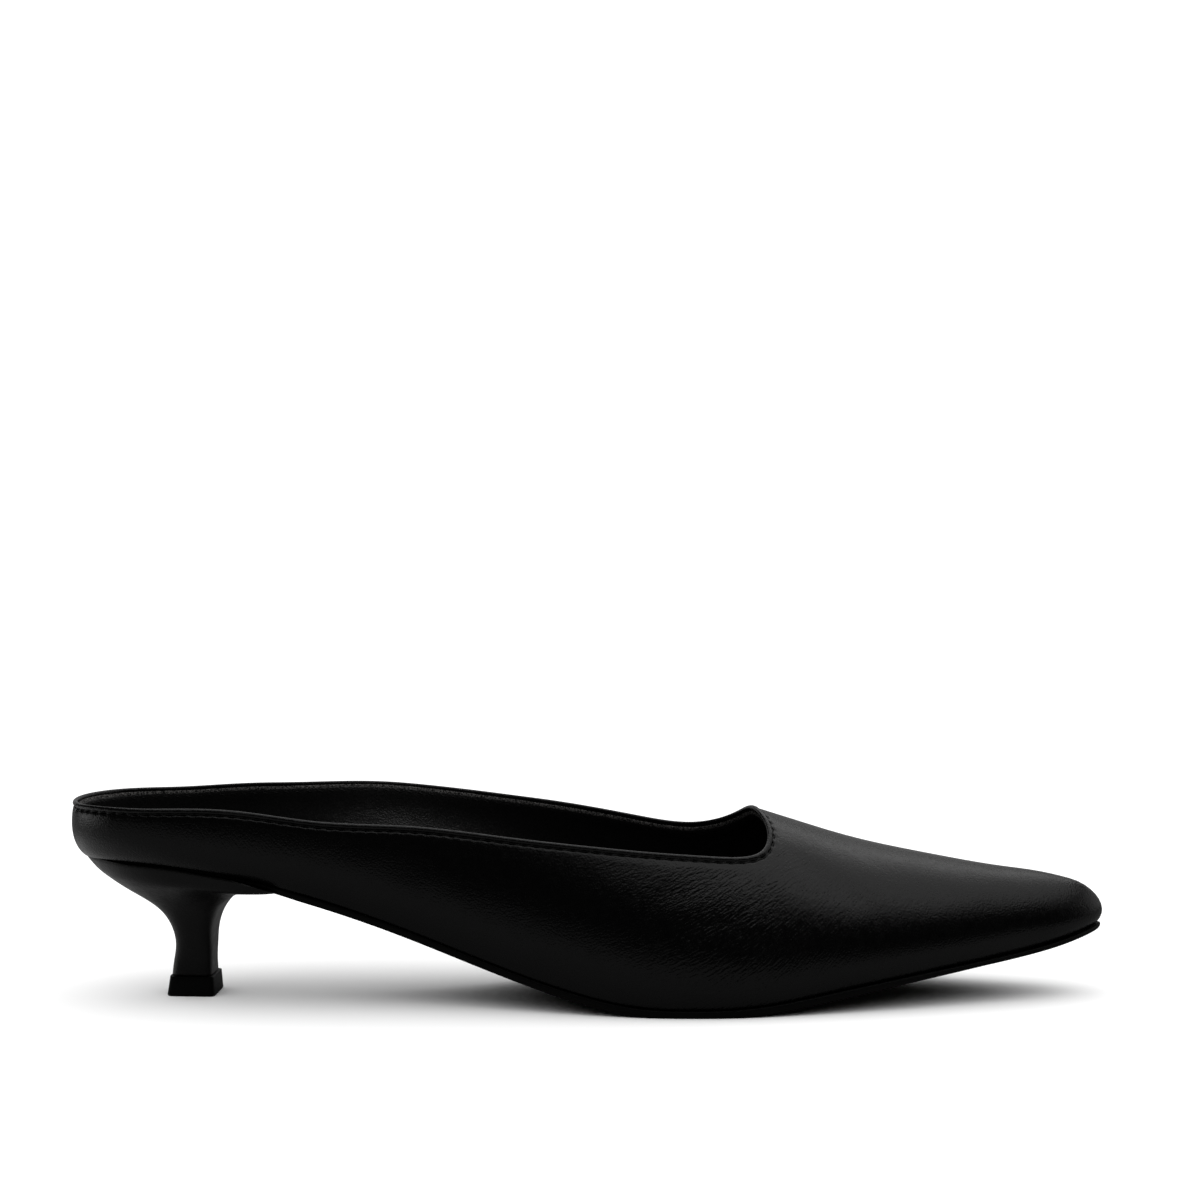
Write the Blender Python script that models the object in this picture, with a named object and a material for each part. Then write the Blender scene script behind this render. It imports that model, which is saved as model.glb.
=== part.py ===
"""Kitten heel mule for the right foot: a pointed leather slip-on with a low wall round the heel.

It is put together as a maker would: upper, insole, outsole, heel and heel lift, each its own solid.
Sizes are millimetres: x runs from the back of the heel to the toe, y towards the inner (medial) side
of the foot and z up from the floor. MM turns them into metres when a mesh is made.
"""

import math
from collections import namedtuple

import bpy
import bmesh
import numpy as np

MM = 0.001
GAP = 0.3               # clearance between pieces that meet
CENTRE_X = 133.1        # middle of the shoe's box, moved to the origin
CENTRE_Y = -2.8

WALL = 1.8              # upper leather with its lining
ROLL_WIDTH = 2.2        # folded and stitched border along the topline
ROLL_STEP = 0.4         # how far that border stands proud
INSOLE_THICK = 3.6
INSOLE_DISH = 0.8       # hollow along the middle of the footbed
SEAT_THICK = 1.2        # outsole where it is skived under the heel
SOLE_THICK = 2.0        # from the waist to the ball
TOE_THICK = 1.3         # at the toe
SOLE_BEVEL = 0.7        # bottom edge of the outsole, drawn in

# Sections of the last from heel to toe. Each rib stands on the sole edge at its outer (lateral) or inner
# (medial) foot, swells outwards and rises by the two handles, and comes over a flat crown to the ridge.
SECTION_COLUMNS = (
    "lateral_x", "lateral_y", "medial_x", "medial_y", "ridge_x", "ridge_y", "ridge_z",
    "lateral_swell", "lateral_rise", "lateral_crown", "medial_swell", "medial_rise", "medial_crown",
)
SECTIONS = {
    "heel back": (4.3, 0.6, 4.3, 0.6, 27.0, -1.2, 70.0, 8.2, 6.0, 23.0, 8.2, 6.0, 23.0),
    "heel corner": (9.3, -15.2, 9.0, 15.6, 28.0, -1.2, 70.0, 8.8, 6.0, 24.5, 8.8, 6.0, 24.5),
    "heel side": (25.0, -24.3, 25.0, 22.6, 33.0, -1.4, 70.0, 9.0, 6.5, 25.0, 9.0, 6.5, 25.0),
    "heel breast": (50.0, -25.0, 50.0, 20.8, 54.0, -2.3, 68.0, 8.5, 8.0, 23.0, 7.5, 9.0, 29.0),
    "waist": (82.0, -25.0, 82.0, 12.5, 84.0, -3.6, 64.0, 8.0, 11.0, 21.0, 6.0, 11.0, 48.0),
    "shank": (113.0, -30.0, 114.0, 18.0, 114.0, -4.4, 60.0, 8.0, 14.0, 22.0, 7.0, 13.0, 46.0),
    "outer joint": (143.0, -37.0, 146.0, 29.5, 145.0, -4.5, 54.5, 9.0, 17.0, 24.0, 8.0, 15.0, 37.0),
    "inner joint": (168.0, -37.8, 173.0, 33.0, 172.0, -3.6, 48.4, 9.0, 15.0, 22.0, 8.5, 15.0, 24.5),
    "vamp": (196.0, -31.6, 201.0, 28.6, 198.0, -2.6, 40.5, 7.5, 11.0, 19.0, 7.5, 11.0, 19.0),
    "toe box": (223.0, -22.6, 227.0, 20.4, 222.0, -1.6, 35.1, 6.0, 8.5, 14.0, 6.0, 8.5, 14.0),
    "toe": (245.0, -13.6, 247.0, 12.4, 239.0, -0.8, 32.1, 5.2, 6.5, 9.5, 5.2, 6.5, 9.5),
    "toe corner": (258.5, -6.8, 258.9, 6.3, 250.0, -0.3, 30.4, 4.8, 5.0, 6.5, 4.8, 5.0, 6.5),
    "toe tip": (263.6, 0.0, 263.6, 0.0, 254.5, 0.0, 29.2, 5.0, 4.4, 6.2, 5.0, 4.4, 6.2),
}

# Height of the sole edge under the upper, along the shoe: heel seat, arch, tread and toe spring.
PROFILE = (
    (0.0, 35.7), (24.0, 35.6), (45.0, 32.6), (66.0, 27.1), (90.0, 19.0), (114.0, 10.3), (132.0, 5.0),
    (146.0, 2.5), (159.0, 2.1), (172.0, 2.5), (190.0, 5.0), (225.0, 10.3), (250.0, 14.3), (265.0, 18.2),
)

# Topline along the quarters: foot of the rib, then the edge's height on the outer and the inner side.
QUARTER_EDGE = {
    "heel back": (4.3, 50.0, 50.0),
    "heel corner": (9.3, 49.5, 50.3),
    "heel side": (25.0, 49.3, 50.4),
    "heel breast": (48.0, 48.7, 51.6),
    "dip": (66.0, 46.2, 51.95),
    "waist": (90.0, 44.9, 50.9),
    "shank": (122.0, 41.5, 46.9),
    "joint": (146.0, 39.2, 42.8),
    "throat": (161.0, 37.9, 41.2),
}

# Topline across the throat: place along the ridge, girth from the ridge (outer side negative) and the
# foot of the rib.
THROAT_EDGE = {
    "outer run-in": (171.0, -26.7, 173.0),
    "outer corner": (178.0, -22.2, 190.0),
    "outer front": (179.6, -15.0, 214.0),
    "middle": (175.4, 0.0, 263.6),
    "inner front": (171.6, 14.6, 214.0),
    "inner corner": (167.6, 21.6, 190.0),
}

# Heel from the seat down: back and breast of each level in side view, half its width, and how square it
# is in plan at the back and at the breast.
Level = namedtuple("Level", "back_x back_z breast_x breast_z half_width back_square breast_square")
HEEL_LEVELS = (
    (6.0, 33.7, 57.4, 26.75, 23.2, 2.3, 9.0),
    (10.4, 30.6, 49.2, 27.5, 20.6, 2.3, 9.0),
    (15.5, 27.2, 44.7, 26.4, 16.8, 2.4, 9.0),
    (20.5, 24.3, 41.3, 23.9, 13.4, 2.6, 9.0),
    (24.5, 21.1, 38.9, 20.6, 10.6, 2.8, 9.0),
    (26.8, 17.4, 37.8, 16.8, 8.6, 3.0, 9.0),
    (27.8, 12.5, 37.6, 12.2, 6.9, 3.4, 9.0),
    (27.3, 8.3, 37.5, 8.3, 6.3, 3.8, 9.0),
    (27.0, 5.3, 37.6, 5.3, 6.3, 4.2, 9.0),
)
LIFT_LEVELS = (
    (26.8, 5.0, 38.2, 5.0, 7.0, 9.0, 12.0),
    (26.1, 0.0, 38.6, 0.0, 7.4, 9.0, 12.0),
)
HEEL_AXIS_Y = 0.6       # axis of the heel at its back
HEEL_TURN = -0.08       # its slope towards the outer side

RIBS = 120              # ribs round the upper
RIB_ROWS = 11           # rows up each rib below the border
STATIONS = 52           # cross-sections along insole and outsole
ACROSS = 6
HALF_LEVEL = 14         # points round half a heel level

Rib = namedtuple("Rib", "foot ridge inward reach height swell rise crown")


# Curves

def cubic(knots, rows, period=None):
    """Cubic spline through rows at knots, closed on itself after period, or natural at its ends."""
    knots = np.asarray(knots, float)
    rows = np.asarray(rows, float)
    if period:
        knots = np.append(knots, knots[0] + period)
        rows = np.vstack([rows, rows[:1]])
    last = len(knots) - 1
    step = np.diff(knots)
    slope = np.diff(rows, axis=0) / step[:, None]
    matrix = np.eye(last + 1)
    pull = np.zeros_like(rows)
    for i in range(1, last):
        matrix[i, i - 1:i + 2] = step[i - 1], 2 * (step[i - 1] + step[i]), step[i]
        pull[i] = 6 * (slope[i] - slope[i - 1])
    if period:
        matrix[0, [0, 1, last - 1]] = 2 * (step[0] + step[-1]), step[0], step[-1]
        pull[0] = 6 * (slope[0] - slope[-1])
        matrix[last, 0] = -1
    bend = np.linalg.solve(matrix, pull)

    def at(place):
        place = np.asarray(place, float)
        if period:
            place = (place - knots[0]) % period + knots[0]
        i = np.clip(np.searchsorted(knots, place, side="right") - 1, 0, last - 1)
        wide = step[i][..., None]
        b = (place - knots[i])[..., None] / wide
        a = 1 - b
        sag = (a**3 - a) * bend[i] + (b**3 - b) * bend[i + 1]
        return a * rows[i] + b * rows[i + 1] + sag * wide**2 / 6

    return at


profile_at = cubic([x for x, z in PROFILE], [(z,) for x, z in PROFILE])


def sole_edge_z(x):
    return profile_at(x)[..., 0]


def sole_thickness(x):
    return np.interp(x, (44, 62, 195, 232), (SEAT_THICK, SOLE_THICK, SOLE_THICK, TOE_THICK))


def sole_top_z(x):
    return sole_edge_z(x) - GAP


def sole_bottom_z(x):
    """Underside of the outsole, cut level with the floor under the ball."""
    return np.maximum(sole_top_z(x) - sole_thickness(x), 0)


# The last: ribs in order round the shoe, outer side from heel to toe, then inner side back again

def section_loop():
    """Places of the sections round the loop, their rows, and the place of the toe."""
    table = np.array(list(SECTIONS.values()))
    lateral = table[:, [not name.startswith("medial") for name in SECTION_COLUMNS]]
    medial = table[:, [not name.startswith("lateral") for name in SECTION_COLUMNS]]
    chords = [np.linalg.norm(np.diff(side[:, :2], axis=0), axis=1) for side in (lateral, medial)]
    place = np.append(0, np.cumsum(np.mean(chords, axis=0)))
    toe = place[-1]
    return np.append(place, 2 * toe - place[-2:0:-1]), np.vstack([lateral, medial[-2:0:-1]]), toe


LOOP_PLACES, LOOP_ROWS, TOE = section_loop()
loop_at = cubic(LOOP_PLACES, LOOP_ROWS, period=2 * TOE)


def place_of_foot(x, inner):
    """Place on the loop where the sole edge passes x, on the inner or the outer side."""
    places = np.linspace(0, TOE, 400)
    if inner:
        places = 2 * TOE - places
    return np.interp(x, np.maximum.accumulate(loop_at(places)[:, 0]), places)


def place_of_ridge(x):
    places = np.linspace(0, TOE, 400)
    return np.interp(x, loop_at(places)[:, 2], places)


def ribs_at(place):
    """Ribs at these places, shaped so that a second axis can run along each of them."""
    row = loop_at(np.atleast_1d(place))[:, None, :]
    foot = np.concatenate([row[..., :2], sole_edge_z(row[..., 0])[..., None]], axis=-1)
    ridge = row[..., 2:5]
    inward = ridge[..., :2] - foot[..., :2]
    reach = np.linalg.norm(inward, axis=-1)
    height = ridge[..., 2] - foot[..., 2]
    swell, rise, crown = row[..., 5], row[..., 6], row[..., 7]
    return Rib(foot, ridge, inward / reach[..., None], reach, height, swell, rise, crown)


def rib_squareness(place):
    """Cosine of the slant in plan between each rib and the square across the sole edge."""
    along = (loop_at(place + 0.2) - loop_at(place - 0.2))[:, :2]
    along /= np.linalg.norm(along, axis=1)[:, None]
    inward = ribs_at(place).inward[:, 0]
    return np.abs(inward[:, 0] * along[:, 1] - inward[:, 1] * along[:, 0])[:, None]


def rib_plane(rib, t):
    """Distance inwards and upwards from the foot at t, from 0 at the foot to 1 on the ridge."""
    b1, b2, b3 = 3 * t * (1 - t)**2, 3 * t**2 * (1 - t), t**3
    across = -b1 * rib.swell + b2 * (rib.reach - rib.crown) + b3 * rib.reach
    return across, b1 * rib.rise + (b2 + b3) * rib.height


def rib_space(rib, across, up):
    plan = rib.foot[..., :2] + rib.inward * across[..., None]
    return np.concatenate([plan, (rib.foot[..., 2] + up)[..., None]], axis=-1)


T_STEPS = np.linspace(0, 1, 61)[None, :]


def girths(rib):
    """Distance along each rib to its ridge at every T_STEPS."""
    across, up = rib_plane(rib, T_STEPS)
    piece = np.hypot(np.diff(across), np.diff(up))
    arc = np.concatenate([np.zeros((len(piece), 1)), np.cumsum(piece, axis=1)], axis=1)
    return arc[:, -1:] - arc


def pattern_point(place, girth):
    """The last laid out flat: each rib stretched straight out from its ridge."""
    rib = ribs_at(place)
    return rib.ridge[:, 0, :2] - rib.inward[:, 0] * np.asarray(girth)[..., None]


def on_last(pattern):
    """Points of the last under points of the flat pattern."""
    grid = np.linspace(0, 2 * TOE, 1601)
    rib = ribs_at(grid)
    ridge, outward = rib.ridge[:, 0, :2], -rib.inward[:, 0]
    places, wanted = [], []
    for point in pattern:
        away = point - ridge
        side = outward[:, 0] * away[:, 1] - outward[:, 1] * away[:, 0]
        along = np.sum(outward * away, axis=1)
        turn = np.flatnonzero((side[:-1] * side[1:] <= 0) & (along[:-1] > -0.6))
        i = turn[np.argmax(along[turn])]
        share = side[i] / (side[i] - side[i + 1]) if side[i] != side[i + 1] else 0
        places.append(grid[i] + share * (grid[i + 1] - grid[i]))
        wanted.append(max(along[i] + share * (along[i + 1] - along[i]), 0))
    rib = ribs_at(np.array(places))
    t = [np.interp(-girth, -row, T_STEPS[0]) for girth, row in zip(wanted, girths(rib))]
    return rib_space(rib, *rib_plane(rib, np.array(t)[:, None]))[:, 0]


# Topline

def edge_rows():
    """Corners of the topline on the flat pattern and the foot of the rib that runs to each."""
    points, feet = [], []

    def quarter(x, height, inner):
        place = place_of_foot(x, inner)
        rib = ribs_at(place)
        up = rib_plane(rib, T_STEPS)[1][0]
        girth = np.interp(height - rib.foot[0, 0, 2], up, girths(rib)[0])
        points.append(pattern_point(place, [girth])[0])
        feet.append(float(place))

    rows = list(QUARTER_EDGE.values())
    for x, outer_z, inner_z in rows:
        quarter(x, outer_z, False)
    for ridge_x, girth, foot_x in THROAT_EDGE.values():
        inner = girth > 0
        place = place_of_ridge(ridge_x)
        points.append(pattern_point(2 * TOE - place if inner else place, [abs(girth)])[0])
        feet.append(float(place_of_foot(foot_x, inner)))
    for x, outer_z, inner_z in rows[:0:-1]:
        quarter(x, inner_z, True)
    return np.array(points), np.array(feet)


def topline():
    """Ribs of the upper on the flat pattern: foot, edge and the edge's inward direction, all round."""
    points, feet = edge_rows()
    chord = np.linalg.norm(np.roll(points, -1, axis=0) - points, axis=1)
    knots = np.append(0, np.cumsum(chord))
    edge_at = cubic(knots[:-1], points, period=knots[-1])
    fine = np.linspace(0, knots[-1], 4000)
    foot = np.interp(fine, knots, np.append(feet, 2 * TOE))
    ahead = loop_at(foot + 0.3)[:, :2] - loop_at(foot - 0.3)[:, :2]
    turning = np.unwrap(np.arctan2(ahead[:, 1], ahead[:, 0]))
    turned = np.append(0, np.cumsum(np.abs(np.diff(turning))))
    spread = fine / fine[-1] + foot / foot[-1] + turned / turned[-1]
    edge = np.interp(np.linspace(0, 3, RIBS, endpoint=False), spread, fine)
    foot = np.interp(edge, fine, foot)
    along = edge_at(edge + 0.2) - edge_at(edge - 0.2)
    down = np.stack([along[:, 1], -along[:, 0]], axis=1)
    down /= np.linalg.norm(down, axis=1)[:, None]
    foot_girth = girths(ribs_at(foot))[:, 0]
    start = pattern_point(foot, foot_girth)
    down *= np.sign(np.sum(down * (start - edge_at(edge)), axis=1))[:, None]
    return start, edge_at(edge), down


# Meshes

def new_part(name, bm, material):
    """Object on the shoe's empty from a finished bmesh."""
    bmesh.ops.remove_doubles(bm, verts=bm.verts, dist=0.002 * MM)
    bmesh.ops.dissolve_degenerate(bm, edges=bm.edges, dist=0.002 * MM)
    bmesh.ops.recalc_face_normals(bm, faces=bm.faces)
    mesh = bpy.data.meshes.new(name)
    bm.to_mesh(mesh)
    bm.free()
    mesh.shade_smooth()
    mesh.set_sharp_from_angle(angle=math.radians(40))
    mesh.materials.append(material)
    part = bpy.data.objects.new(name, mesh)
    part.parent = shoe
    collection.objects.link(part)
    return part


def loft(rings, caps=False, around=False):
    """Skin over closed rings of equal count, its ends capped across or joined to each other."""
    bm = bmesh.new()
    rows = [[bm.verts.new(point * MM) for point in np.asarray(ring)] for ring in rings]
    count = len(rows[0])
    following = rows[1:] + (rows[:1] if around else [])
    for lower, upper in zip(rows, following):
        for i in range(count):
            j = (i + 1) % count
            bm.faces.new((lower[i], lower[j], upper[j], upper[i]))
    for ring in (rows[0], rows[-1]) if caps else ():
        for i in range(count // 2):
            corners = (ring[i], ring[i + 1], ring[count - i - 1], ring[-i])
            bm.faces.new(list(dict.fromkeys(corners)))
    return bm


def new_material(name, colour, roughness):
    material = bpy.data.materials.new(name)
    material.use_nodes = True
    shader = material.node_tree.nodes["Principled BSDF"]
    shader.inputs["Base Color"].default_value = (*colour, 1)
    shader.inputs["Roughness"].default_value = roughness
    shader.inputs["Metallic"].default_value = 0
    return material


def build_upper():
    """Hollow wall: rows up every rib, the border as a step, then back down the inside."""
    start, edge, down = topline()
    below = ROLL_WIDTH + 2.0
    reach = edge + down * below - start
    lean = np.interp(np.linalg.norm(reach, axis=1), (12, 90), (1.1, 2.0))
    rows = [start + reach * ((k / RIB_ROWS) ** lean)[:, None] for k in range(RIB_ROWS + 1)]
    offsets = [0.0] * len(rows)
    for distance, proud in ((ROLL_WIDTH + 0.25, 0), (ROLL_WIDTH - 0.25, 1), (0.5, 1), (0.0, 0.4)):
        rows.append(edge + down * distance)
        offsets.append(proud * ROLL_STEP)
    grid = np.array([on_last(row) for row in rows])
    up = np.gradient(grid, axis=0)
    along = np.roll(grid, -1, axis=1) - np.roll(grid, 1, axis=1)
    normal = np.cross(along, up)
    normal /= np.linalg.norm(normal, axis=-1, keepdims=True)
    outer = grid + normal * np.array(offsets)[:, None, None]
    inner = grid - normal * WALL
    return loft([*outer, *inner[::-1]], around=True)


def station_places():
    turn = np.linspace(0, np.pi, STATIONS)
    return TOE * (1 - np.cos(turn)) / 2


def across(first, last):
    share = np.linspace(0, 1, ACROSS + 1)[:, None]
    return first + (last - first) * share


def build_insole():
    """Footbed that fills the bottom of the upper, its sides following the inside of the wall."""
    def outline(place):
        rib = ribs_at(place)
        side, up = rib_plane(rib, T_STEPS)
        turn_side, turn_up = np.gradient(side, axis=1), np.gradient(up, axis=1)
        inset = (WALL + GAP) / rib_squareness(place) / np.hypot(turn_side, turn_up)
        inner_side = side + turn_up * inset
        inner_up = up - turn_side * inset
        start_side, start_up = inner_side[:, :1], inner_up[:, :1]
        lines = [(start_side, 0 * start_up), (start_side, start_up)]
        for height, inset in ((INSOLE_THICK - 0.6, 0.0), (INSOLE_THICK, 0.5)):
            reach = [np.interp(height, ups, sides) + inset for ups, sides in zip(inner_up, inner_side)]
            lines.append((np.array(reach)[:, None], 0 * start_up + height))
        return np.concatenate([rib_space(rib, *line) for line in lines], axis=1)

    places = station_places()
    rings = []
    for lateral, medial in zip(outline(places), outline(2 * TOE - places)):
        top = across(lateral[3], medial[3])
        share = np.linspace(-1, 1, ACROSS + 1)
        width = np.linalg.norm(medial[3] - lateral[3])
        top[:, 2] -= (1 - share**2) * INSOLE_DISH * min(width / 30, 1)
        bottom = across(medial[0], lateral[0])
        bottom[:, 2] = sole_edge_z(bottom[:, 0])
        rings.append([lateral[1], lateral[2], *top, medial[2], medial[1], *bottom])
    return loft(rings)


def build_outsole():
    def outline(place, inset):
        rib = ribs_at(place)
        margin = np.interp(rib.foot[..., 0], (0, 60, 130, 265), (-0.5, -0.2, 0.5, 1.1))
        return rib_space(rib, inset - margin, 0 * margin)[:, 0]

    places = station_places()
    opposite = 2 * TOE - places
    edges = zip(outline(places, 0), outline(opposite, 0),
                outline(places, SOLE_BEVEL), outline(opposite, SOLE_BEVEL))
    rings = []
    for lateral, medial, lateral_low, medial_low in edges:
        top = across(lateral, medial)
        top[:, 2] = sole_top_z(top[:, 0])
        bottom = across(medial_low, lateral_low)
        bottom[:, 2] = sole_bottom_z(bottom[:, 0])
        rings.append([*top, *bottom])
    return loft(rings)


def heel_ring(level):
    """One level of the heel: a superellipse, rounder at the back than at the breast."""
    turn = np.linspace(0, np.pi, HALF_LEVEL)
    square = np.where(turn < np.pi / 2, level.back_square, level.breast_square)
    reach = -np.sign(np.cos(turn)) * np.abs(np.cos(turn)) ** (2 / square)
    reach[np.abs(reach) < 1e-6] = 0
    side = level.half_width * np.sin(turn) ** (2 / square)
    side[-1] = 0
    length = level.breast_x - level.back_x
    x = level.back_x + length * (1 + reach) / 2
    z = level.back_z + (level.breast_z - level.back_z) * (1 + reach) / 2
    middle = HEEL_AXIS_Y + HEEL_TURN * (x - SECTIONS["heel back"][0])
    outer = np.stack([x, middle - side, z], axis=1)
    inner = np.stack([x, middle + side, z], axis=1)
    return np.vstack([outer, inner[-2:0:-1]])


def build_heel():
    seat = heel_ring(Level(*HEEL_LEVELS[0]))
    seat[:, 2] = sole_bottom_z(seat[:, 0]) - GAP
    return loft([seat, *[heel_ring(Level(*row)) for row in HEEL_LEVELS]], caps=True)


def build_lift():
    return loft([heel_ring(Level(*row)) for row in LIFT_LEVELS], caps=True)


for leftover in list(bpy.data.objects):
    bpy.data.objects.remove(leftover)
collection = bpy.data.collections.new("kitten_heel_mule")
bpy.context.scene.collection.children.link(collection)
shoe = bpy.data.objects.new("shoe", None)
shoe.location = (-CENTRE_X * MM, -CENTRE_Y * MM, 0)
collection.objects.link(shoe)

new_part("upper", build_upper(), new_material("upper_leather", (0.012, 0.012, 0.013), 0.42))
new_part("insole", build_insole(), new_material("sock_leather", (0.015, 0.015, 0.016), 0.5))
new_part("outsole", build_outsole(), new_material("sole", (0.010, 0.010, 0.010), 0.55))
new_part("heel", build_heel(), new_material("heel_cover_leather", (0.012, 0.012, 0.013), 0.42))
new_part("heel_lift", build_lift(), new_material("top_piece", (0.010, 0.010, 0.010), 0.6))
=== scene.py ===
# Kitten heel mule for the right foot: leather, lining, stitching, sock, sole, heel, camera and light
import math

import bmesh
import bpy
import numpy as np
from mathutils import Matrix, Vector


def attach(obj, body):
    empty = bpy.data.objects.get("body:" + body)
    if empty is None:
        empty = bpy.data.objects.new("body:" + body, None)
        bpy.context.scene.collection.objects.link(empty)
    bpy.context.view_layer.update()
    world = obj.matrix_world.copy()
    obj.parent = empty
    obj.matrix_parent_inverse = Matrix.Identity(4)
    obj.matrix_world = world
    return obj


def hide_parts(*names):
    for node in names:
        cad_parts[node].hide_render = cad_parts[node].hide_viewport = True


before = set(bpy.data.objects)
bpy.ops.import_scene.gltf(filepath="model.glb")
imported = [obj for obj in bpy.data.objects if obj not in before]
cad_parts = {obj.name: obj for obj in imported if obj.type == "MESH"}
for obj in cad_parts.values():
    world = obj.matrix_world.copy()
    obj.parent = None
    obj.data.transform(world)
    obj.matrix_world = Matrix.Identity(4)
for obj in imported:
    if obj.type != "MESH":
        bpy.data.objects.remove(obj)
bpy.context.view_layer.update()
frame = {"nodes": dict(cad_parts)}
mm = 0.001
print("frame:", ", ".join(frame["nodes"]))


# Sizes of the shoe, in millimetres: x from the back of the heel, y to the inner side of the foot, z up
shoe = {
    "centreX": 133.1,      # middle of the shoe, which is the frame's origin
    "centreY": -2.8,
    "gap": 0.3,            # between solids that meet
    "wall": 1.8,           # leather and lining together
    "sockThick": 3.6,
    "sockDish": 0.8,
}
sampling = {
    "rib": 121, "foot": 400, "loop": 1601, "edge": 4000,  # points looked at along each curve
    "step": 0.2, "turnStep": 0.3,  # to either side of a place, to find a direction there
    "ridgeSlack": 0.6,  # how far past the ridge a rib still counts
}

# Each rib of the last stands on the sole edge at its outer or inner foot, swells out, and rises to the ridge
lastColumns = (
    "outerX", "outerY", "innerX", "innerY", "ridgeX", "ridgeY", "ridgeZ",
    "outerSwell", "outerRise", "outerCrown", "innerSwell", "innerRise", "innerCrown",
)
lastSections = {
    "heel back": (4.3, 0.6, 4.3, 0.6, 27.0, -1.2, 70.0, 8.2, 6.0, 23.0, 8.2, 6.0, 23.0),
    "heel corner": (9.3, -15.2, 9.0, 15.6, 28.0, -1.2, 70.0, 8.8, 6.0, 24.5, 8.8, 6.0, 24.5),
    "heel side": (25.0, -24.3, 25.0, 22.6, 33.0, -1.4, 70.0, 9.0, 6.5, 25.0, 9.0, 6.5, 25.0),
    "heel breast": (50.0, -25.0, 50.0, 20.8, 54.0, -2.3, 68.0, 8.5, 8.0, 23.0, 7.5, 9.0, 29.0),
    "waist": (82.0, -25.0, 82.0, 12.5, 84.0, -3.6, 64.0, 8.0, 11.0, 21.0, 6.0, 11.0, 48.0),
    "shank": (113.0, -30.0, 114.0, 18.0, 114.0, -4.4, 60.0, 8.0, 14.0, 22.0, 7.0, 13.0, 46.0),
    "outer joint": (143.0, -37.0, 146.0, 29.5, 145.0, -4.5, 54.5, 9.0, 17.0, 24.0, 8.0, 15.0, 37.0),
    "inner joint": (168.0, -37.8, 173.0, 33.0, 172.0, -3.6, 48.4, 9.0, 15.0, 22.0, 8.5, 15.0, 24.5),
    "vamp": (196.0, -31.6, 201.0, 28.6, 198.0, -2.6, 40.5, 7.5, 11.0, 19.0, 7.5, 11.0, 19.0),
    "toe box": (223.0, -22.6, 227.0, 20.4, 222.0, -1.6, 35.1, 6.0, 8.5, 14.0, 6.0, 8.5, 14.0),
    "toe": (245.0, -13.6, 247.0, 12.4, 239.0, -0.8, 32.1, 5.2, 6.5, 9.5, 5.2, 6.5, 9.5),
    "toe corner": (258.5, -6.8, 258.9, 6.3, 250.0, -0.3, 30.4, 4.8, 5.0, 6.5, 4.8, 5.0, 6.5),
    "toe tip": (263.6, 0.0, 263.6, 0.0, 254.5, 0.0, 29.2, 5.0, 4.4, 6.2, 5.0, 4.4, 6.2),
}

# Height of the sole edge along the shoe: seat, arch, tread and toe spring
soleProfile = (
    (0.0, 35.7), (24.0, 35.6), (45.0, 32.6), (66.0, 27.1), (90.0, 19.0), (114.0, 10.3), (132.0, 5.0),
    (146.0, 2.5), (159.0, 2.1), (172.0, 2.5), (190.0, 5.0), (225.0, 10.3), (250.0, 14.3), (265.0, 18.2),
)

# Topline along the quarters: foot of the rib, height of the edge on the outer and on the inner side
quarterEdge = {
    "heel back": (4.3, 50.0, 50.0),
    "heel corner": (9.3, 49.5, 50.3),
    "heel side": (25.0, 49.3, 50.4),
    "heel breast": (48.0, 48.7, 51.6),
    "dip": (66.0, 46.2, 51.95),
    "waist": (90.0, 44.9, 50.9),
    "shank": (122.0, 41.5, 46.9),
    "joint": (146.0, 39.2, 42.8),
    "throat": (161.0, 37.9, 41.2),
}

# Topline across the throat: place along the ridge, girth from the ridge, foot of the rib
throatEdge = {
    "outer run-in": (171.0, -26.7, 173.0),
    "outer corner": (178.0, -22.2, 190.0),
    "outer front": (179.6, -15.0, 214.0),
    "middle": (175.4, 0.0, 263.6),
    "inner front": (171.6, 14.6, 214.0),
    "inner corner": (167.6, 21.6, 190.0),
}


# Curves and the last

def splineThrough(knots, rows, period=None):
    knots = np.asarray(knots, float)
    rows = np.asarray(rows, float)
    if period:  # closed on itself
        knots = np.append(knots, knots[0] + period)
        rows = np.vstack([rows, rows[:1]])
    last = len(knots) - 1
    step = np.diff(knots)
    slope = np.diff(rows, axis=0) / step[:, None]
    matrix = np.eye(last + 1)
    pull = np.zeros_like(rows)
    for i in range(1, last):
        matrix[i, i - 1:i + 2] = step[i - 1], 2 * (step[i - 1] + step[i]), step[i]
        pull[i] = 6 * (slope[i] - slope[i - 1])
    if period:
        matrix[0, [0, 1, last - 1]] = 2 * (step[0] + step[-1]), step[0], step[-1]
        pull[0] = 6 * (slope[0] - slope[-1])
        matrix[last, 0] = -1
    bend = np.linalg.solve(matrix, pull)

    def at(place):
        place = np.asarray(place, float)
        if period:
            place = (place - knots[0]) % period + knots[0]
        i = np.clip(np.searchsorted(knots, place, side="right") - 1, 0, last - 1)
        wide = step[i][..., None]
        b = (place - knots[i])[..., None] / wide
        a = 1 - b
        sag = (a**3 - a) * bend[i] + (b**3 - b) * bend[i + 1]
        return a * rows[i] + b * rows[i + 1] + sag * wide**2 / 6

    return at


def smoothStep(low, high, value):
    share = np.clip((np.asarray(value, float) - low) / (high - low), 0, 1)
    return share * share * (3 - 2 * share)


profileAt = splineThrough([x for x, z in soleProfile], [(z,) for x, z in soleProfile])


def soleEdgeZ(x):
    return profileAt(x)[..., 0]


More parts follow.
